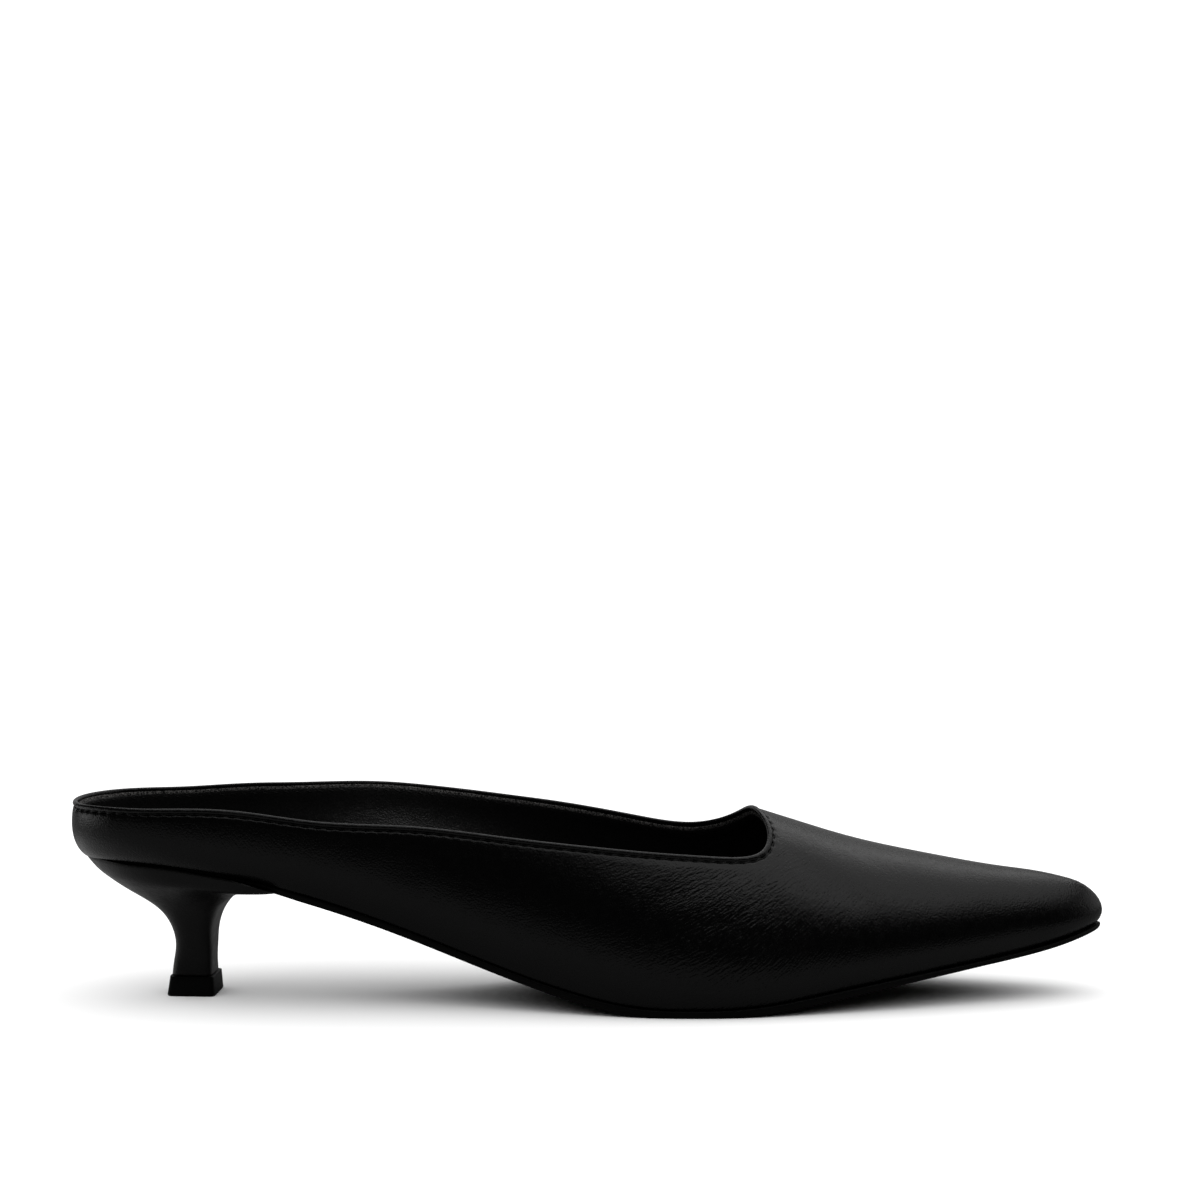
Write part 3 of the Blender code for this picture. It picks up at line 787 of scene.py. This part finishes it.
def buildStitches(name, below, lift, side):
    edge, down = topline(upper["columns"])[1:]
    line = edge + down * below
    grid = np.array([onLast(line + down * step) for step in (stitch["probe"], 0.0, -stitch["probe"])])
    normal = wallNormals(grid)[1]
    points = toFrame(grid[1] + normal * lift)
    count = len(points)
    path = bpy.data.meshes.new(name)
    path.from_pydata([tuple(p) for p in points], [(i, (i + 1) % count) for i in range(count)], [])
    path.attributes.new("outward", "FLOAT_VECTOR", "POINT").data.foreach_set(
        "vector", (normal * side).astype(np.float32).ravel())
    piece = bpy.data.objects.new(name, path)
    bpy.context.scene.collection.objects.link(piece)
    lengths = loopLengths(points)
    row = piece.modifiers.new("stitchRow", "NODES")
    row.node_group = stitchNodes
    values = {
        "Pitch": lengths[-1] / round(lengths[-1] / (upper["pitch"] * mm)),
        "Length": stitch["length"] * mm, "Width": stitch["width"] * mm, "Height": stitch["height"] * mm,
        "Slant": math.radians(stitch["slant"]) * side, "Jitter": stitch["jitter"],
        "Seed": stitch["seed"], "Thread": thread,
    }
    for socket, value in values.items():
        row[stitchSockets[socket]] = value
    evaluated = piece.evaluated_get(bpy.context.evaluated_depsgraph_get())
    made = bpy.data.meshes.new_from_object(evaluated)
    piece.modifiers.clear()
    piece.data = made
    finishPiece(piece, "upper_leather")


buildStitches("stitches_outside", upper["stitchBelow"], stitch["outsideLift"], 1)
buildStitches("stitches_inside", stitch["insideBelow"], stitch["insideLift"], -1)


# Sock over the insole

sock = {
    "stations": 150, "across": 30,
    "clear": 0.12,         # from the lining
    "dishWidth": 30,       # where it is narrower, the dish is shallower
}

# Hollows worn by heel and ball: depth, middle and spread along x, then across in shares of the half width
sockHollows = {"heel": (0.35, 32, 17, 0.0, 0.55), "ball": (0.3, 168, 20, 0.25, 0.5)}

# Rounded edge: distance below the top, how far in
sockEdge = ((0.7, 0.0), (0.35, 0.08), (0.12, 0.26), (0.0, 0.6))


def stationPlaces(count):
    return toePlace * (1 - np.cos(np.linspace(0, np.pi, count))) / 2


def acrossPoints(first, last, count):
    return first + (last - first) * np.linspace(0, 1, count + 1)[:, None]


def buildSock():
    thick = shoe["sockThick"]

    def outline(place):
        rib = ribsAt(place)
        side, up = ribPlane(rib, ribSteps)
        turnSide, turnUp = np.gradient(side, axis=1), np.gradient(up, axis=1)
        inset = (shoe["wall"] + sock["clear"]) / ribSquareness(place) / np.hypot(turnSide, turnUp)
        innerSide, innerUp = side + turnUp * inset, up - turnSide * inset
        begin, beginUp = innerSide[:, :1], innerUp[:, :1]
        lines = [(begin, 0 * beginUp), (begin, beginUp)]
        for below, draw in sockEdge:
            height = thick - below
            reach = [np.interp(height, ups, sides) + draw for ups, sides in zip(innerUp, innerSide)]
            lines.append((np.array(reach)[:, None], 0 * beginUp + height))
        return np.concatenate([ribSpace(rib, *line) for line in lines], axis=1)

    places = stationPlaces(sock["stations"])
    rings = []
    for outer, inner in zip(outline(places), outline(2 * toePlace - places)):
        top = acrossPoints(outer[-1], inner[-1], sock["across"])
        share = np.linspace(-1, 1, sock["across"] + 1)
        width = np.linalg.norm(inner[-1] - outer[-1])
        x = top[:, 0]
        hollow = shoe["sockDish"] * (1 - share**2) * min(width / sock["dishWidth"], 1)
        for deep, middle, spread, side, sideSpread in sockHollows.values():
            hollow += deep * np.exp(-((x - middle) / spread)**2 - ((share - side) / sideSpread)**2)
        top[:, 2] -= hollow
        bottom = acrossPoints(inner[0], outer[0], sock["across"])
        bottom[:, 2] = soleEdgeZ(bottom[:, 0])
        rings.append([*outer[1:-1], *top, *inner[-2:0:-1], *bottom])
    rings = np.array(rings)
    count = rings.shape[1]
    faces = ringFaces(len(rings), count, closed=False)
    piece = meshObject("sock", toFrame(rings.reshape(-1, 3)), faces, [sockLeather])
    finishPiece(piece, "sock_leather", "insole")


buildSock()


# Outsole

sole = {
    "stations": 170, "across": 24,
    "thickAt": (44, 62, 195, 232), "thick": (1.2, 2.0, 2.0, 1.3),  # seat, waist, ball and toe
    "marginAt": (0, 30, 52, 66, 130, 265), "margin": (-2.4, -2.2, -0.8, -0.2, 0.5, 1.1),  # past the last
}

# Edge of the sole from the top down: how far in, share of the thickness
soleEdge = ((0.35, 0.0), (0.08, 0.08), (0.0, 0.25), (0.02, 0.5), (0.14, 0.75), (0.38, 0.93), (0.7, 1.0))


def soleTopZ(x):
    return soleEdgeZ(x) - shoe["gap"]


def soleBottomZ(x):
    return np.maximum(soleTopZ(x) - np.interp(x, sole["thickAt"], sole["thick"]), 0)


def buildSole():
    places = stationPlaces(sole["stations"])

    def outline(place, inset):
        rib = ribsAt(place)
        margin = np.interp(rib["foot"][..., 0], sole["marginAt"], sole["margin"])
        return ribSpace(rib, inset - margin, 0 * margin)[:, 0]

    outer = [outline(places, inset) for inset, share in soleEdge]
    inner = [outline(2 * toePlace - places, inset) for inset, share in soleEdge]
    rings = []
    for k in range(len(places)):
        top = acrossPoints(outer[0][k], inner[0][k], sole["across"])
        top[:, 2] = soleTopZ(top[:, 0])
        bottom = acrossPoints(inner[-1][k], outer[-1][k], sole["across"])
        bottom[:, 2] = soleBottomZ(bottom[:, 0])
        sides = []
        for line in (inner, outer):
            steps = []
            for (inset, share), row in list(zip(soleEdge, line))[1:-1]:
                point = row[k].copy()
                point[2] = soleTopZ(point[0]) * (1 - share) + soleBottomZ(point[0]) * share
                steps.append(point)
            sides.append(steps)
        rings.append([*top, *sides[0], *bottom, *sides[1][::-1]])
    rings = np.array(rings)
    faces = ringFaces(len(rings), rings.shape[1], closed=False)
    piece = meshObject("sole", toFrame(rings.reshape(-1, 3)), faces, [soleRubber])
    finishPiece(piece, "sole", "outsole")


buildSole()


# Heel and its top piece

heel = {
    "axisY": 0.6, "turn": -0.08, "rings": 64, "half": 49,
    "lapAt": (6, 20, 40, 52), "lap": (1.6, 0.65, 0.7, 0.6),  # how far the cover laps over the sole edge
    "softRows": (2, 14), "softSteps": 24,  # rounding of the shoulder under the top edge
    "sharpFrom": 50, "liftSharpFrom": 40,  # angles that stay sharp, in degrees
}

# Levels from the seat down: back x and z, breast x and z, half width, squareness of back and breast
heelLevels = (
    (6.0, 33.7, 57.4, 27.45, 23.2, 2.3, 9.0),
    (10.4, 30.6, 49.2, 27.5, 20.6, 2.3, 9.0),
    (15.5, 27.2, 44.7, 26.4, 16.8, 2.4, 8.0),
    (20.5, 24.3, 41.3, 23.9, 13.4, 2.6, 7.0),
    (24.5, 21.1, 38.9, 20.6, 10.6, 2.8, 6.0),
    (26.8, 17.4, 37.8, 16.8, 8.6, 3.0, 5.5),
    (27.8, 12.5, 37.6, 12.2, 6.9, 3.4, 5.5),
    (27.3, 8.3, 37.5, 8.3, 6.3, 3.8, 6.0),
    (27.0, 5.3, 37.6, 5.3, 6.3, 4.2, 7.0),
)
liftLevels = (
    (27.1, 5.0, 37.95, 5.0, 6.75, 9.0, 12.0),
    (26.84, 4.9, 38.2, 4.9, 6.98, 9.0, 12.0),
    (26.78, 4.6, 38.22, 4.6, 7.02, 9.0, 12.0),
    (26.18, 0.3, 38.58, 0.3, 7.38, 9.0, 12.0),
    (26.4, 0.0, 38.4, 0.0, 7.2, 9.0, 12.0),
)

# Rounded top edge of the cover: how far in at the back and elsewhere, share of the way to the first level
heelTopEdge = ((-1.2, -0.05, 0.0), (-1.2, -0.2, 0.1), (-0.55, -0.15, 0.4))


def heelRing(level):
    backX, backZ, breastX, breastZ, halfWidth, backSquare, breastSquare = level
    turn = np.linspace(0, np.pi, heel["half"])
    square = np.where(turn < np.pi / 2, backSquare, breastSquare)
    reach = -np.sign(np.cos(turn)) * np.abs(np.cos(turn)) ** (2 / square)
    reach[np.abs(reach) < 1e-6] = 0  # exact at the widest point
    side = halfWidth * np.sin(turn) ** (2 / square)
    side[-1] = 0
    x = backX + (breastX - backX) * (1 + reach) / 2
    z = backZ + (breastZ - backZ) * (1 + reach) / 2
    middle = heel["axisY"] + heel["turn"] * (x - lastSections["heel back"][0])
    outer = np.stack([x, middle - side, z], axis=1)
    inner = np.stack([x, middle + side, z], axis=1)
    return np.vstack([outer, inner[-2:0:-1]])


def loftPiece(name, rings, material):
    rings = np.array(rings)
    count = rings.shape[1]
    faces = ringFaces(len(rings), count, closed=False)
    faces += capFaces(0, count) + capFaces((len(rings) - 1) * count, count)
    return meshObject(name, toFrame(rings.reshape(-1, 3)), faces, [material])


def buildHeel():
    table = np.array(heelLevels)
    knots = np.append(0, np.cumsum(np.hypot(np.diff(table[:, 0]), np.diff(table[:, 1]))))
    levelAt = splineThrough(knots, table)
    rings = []
    for back, inset, share in heelTopEdge:
        ring = heelRing(table[0] + (back, 0, -inset, 0, -inset, 0, 0))
        top = soleBottomZ(ring[:, 0]) + np.interp(ring[:, 0], heel["lapAt"], heel["lap"])
        ring[:, 2] = top * (1 - share) + ring[:, 2] * share
        rings.append(ring)
    for place in np.linspace(0, knots[-1], heel["rings"]):
        rings.append(heelRing(levelAt(np.array([place]))[0]))
    rings = np.array(rings)
    low, high = heel["softRows"]
    for step in range(heel["softSteps"]):
        rings[low:high] = (rings[low - 1:high - 1] + 2 * rings[low:high] + rings[low + 1:high + 1]) / 4
    piece = loftPiece("heel_cover", rings, heelLeather)
    piece.data.set_sharp_from_angle(angle=math.radians(heel["sharpFrom"]))
    finishPiece(piece, "heel_cover", "heel")


def buildLift():
    piece = loftPiece("top_piece", [heelRing(level) for level in liftLevels], liftRubber)
    piece.data.set_sharp_from_angle(angle=math.radians(heel["liftSharpFrom"]))
    finishPiece(piece, "top_piece", "heel_lift")


buildHeel()
buildLift()


# Camera, floor and light

camera = {"x": 3.0, "y": -557.2, "z": 100.4, "lens": 65.31}

studio = {
    "floorRadius": 4.0,
    "floorFade": (0.45, 0.95),  # how far from the shoe the floor goes over into the backdrop
    "floorShown": 0.9,  # pale paper, as the camera sees it
    "floorBounce": (0.3, 0.095),  # painted into the colour the shoe sees: a painted pool of light behind the heel, painted shade elsewhere
    "bounceFrom": (-0.19, 0.06, 0.0),  # the middle of the painted pool of light, in metres
    "bounceTurn": (0.03, 0.14),  # how far from there it goes from one to the other
    "backdrop": 1.2,  # white behind everything, as the camera sees it
    "dimLight": 0.012,  # what the rest of the room gives
}

# Area lights: place and aim in metres, width and depth, power, what takes their light
lights = {
    "floorDome": ((0.0, 0.1, 1.2), (0.0, 0.1, 0.0), (5.0, 5.0), 138.0, "floor"),
    "overhead": ((0.22, 0.06, 0.9), (0.22, 0.06, 0.0), (1.5, 1.0), 2.6, "shoe"),
    "backTop": ((0.16, 0.9, 0.95), (0.04, 0.0, 0.03), (1.4, 0.5), 2.1, "shoe"),
    "backdrop": ((0.1, 1.4, 0.45), (0.1, 0.0, 0.45), (2.6, 0.9), 2.1, "shoe"),
    "left": ((-0.8, 0.1, 0.06), (-0.1, 0.0, 0.05), (0.5, 0.2), 0.22, "shoe"),
    "right": ((1.0, 0.3, 0.35), (0.0, 0.0, 0.03), (0.8, 0.6), 0.5, "shoe"),
    "frontTop": ((0.25, -0.5, 0.95), (0.05, 0.0, 0.03), (0.9, 0.26), 0.24, "shoe"),
}


def buildCamera():
    data = bpy.data.cameras.new("camera")
    data.lens = camera["lens"]
    data.clip_start = 0.01
    data.clip_end = 50.0
    view = bpy.data.objects.new("camera", data)
    view.location = (camera["x"] * mm, camera["y"] * mm, camera["z"] * mm)
    view.rotation_euler = (math.radians(90), 0, 0)
    bpy.context.scene.collection.objects.link(view)
    bpy.context.scene.camera = view
    bpy.context.scene.view_settings.view_transform = "Standard"  # plain tones, white stays white


def buildFloor():
    material, tree, shader = newMaterial("paleFloor")
    paper = tree.nodes.new("ShaderNodeBsdfDiffuse")
    tree.nodes.remove(shader)
    seen = tree.nodes.new("ShaderNodeLightPath").outputs["Is Camera Ray"]
    place = tree.nodes.new("ShaderNodeTexCoord").outputs["Object"]
    way = tree.nodes.new("ShaderNodeVectorMath")
    way.operation = "DISTANCE"
    tree.links.new(place, way.inputs[0])
    way.inputs[1].default_value = studio["bounceFrom"]
    # the floor's colour for all but camera rays is painted light: a pool of light behind the heel, shade
    # elsewhere
    bounce = addRange(tree, way.outputs["Value"], studio["bounceTurn"], studio["floorBounce"])
    tone = tree.nodes.new("ShaderNodeMix")
    tree.links.new(seen, tone.inputs["Factor"])
    tree.links.new(bounce, tone.inputs["A"])
    tone.inputs["B"].default_value = studio["floorShown"]
    tree.links.new(tone.outputs["Result"], paper.inputs["Color"])
    away = tree.nodes.new("ShaderNodeVectorMath")
    away.operation = "LENGTH"
    tree.links.new(place, away.inputs[0])
    fade = addRange(tree, away.outputs["Value"], studio["floorFade"], (0, 1))
    white = addNode(tree, "ShaderNodeEmission", Color=(1, 1, 1, 1), Strength=studio["backdrop"])
    mix = tree.nodes.new("ShaderNodeMixShader")
    tree.links.new(addMath(tree, "MULTIPLY", fade, seen), mix.inputs["Fac"])
    tree.links.new(paper.outputs["BSDF"], mix.inputs[1])
    tree.links.new(white.outputs["Emission"], mix.inputs[2])
    tree.links.new(mix.outputs["Shader"], tree.nodes["Material Output"].inputs["Surface"])
    mesh = bpy.data.meshes.new("floor")
    bm = bmesh.new()
    bmesh.ops.create_circle(bm, cap_ends=True, segments=96, radius=studio["floorRadius"])
    bm.to_mesh(mesh)
    bm.free()
    mesh.materials.append(material)
    floor = bpy.data.objects.new("floor", mesh)
    bpy.context.scene.collection.objects.link(floor)
    return floor


def buildLights(floor):
    receivers = {}
    for taker, state in (("floor", "INCLUDE"), ("shoe", "EXCLUDE")):  # the shoe's lights pass the floor by
        receivers[taker] = bpy.data.collections.new(taker + "Light")
        receivers[taker].objects.link(floor)
        receivers[taker].collection_objects[0].light_linking.link_state = state
    for name, (place, aim, (width, depth), power, taker) in lights.items():
        data = bpy.data.lights.new(name, "AREA")
        data.shape = "RECTANGLE"
        data.size, data.size_y = width, depth
        data.energy = power
        lamp = bpy.data.objects.new(name, data)
        lamp.location = place
        lamp.rotation_euler = (Vector(aim) - Vector(place)).to_track_quat("-Z", "Y").to_euler()
        lamp.visible_camera = False
        lamp.light_linking.receiver_collection = receivers[taker]
        bpy.context.scene.collection.objects.link(lamp)
    world = bpy.data.worlds.new("studio")
    bpy.context.scene.world = world
    world.use_nodes = True
    tree = world.node_tree
    dim = tree.nodes["Background"]
    dim.inputs["Color"].default_value = (1, 1, 1, 1)
    dim.inputs["Strength"].default_value = studio["dimLight"]
    white = addNode(tree, "ShaderNodeBackground", Color=(1, 1, 1, 1), Strength=studio["backdrop"])
    mix = tree.nodes.new("ShaderNodeMixShader")
    tree.links.new(tree.nodes.new("ShaderNodeLightPath").outputs["Is Camera Ray"], mix.inputs["Fac"])
    tree.links.new(dim.outputs["Background"], mix.inputs[1])
    tree.links.new(white.outputs["Background"], mix.inputs[2])
    tree.links.new(mix.outputs["Shader"], tree.nodes["World Output"].inputs["Surface"])


buildCamera()
buildLights(buildFloor())
print("camera, floor and", len(lights), "lights")
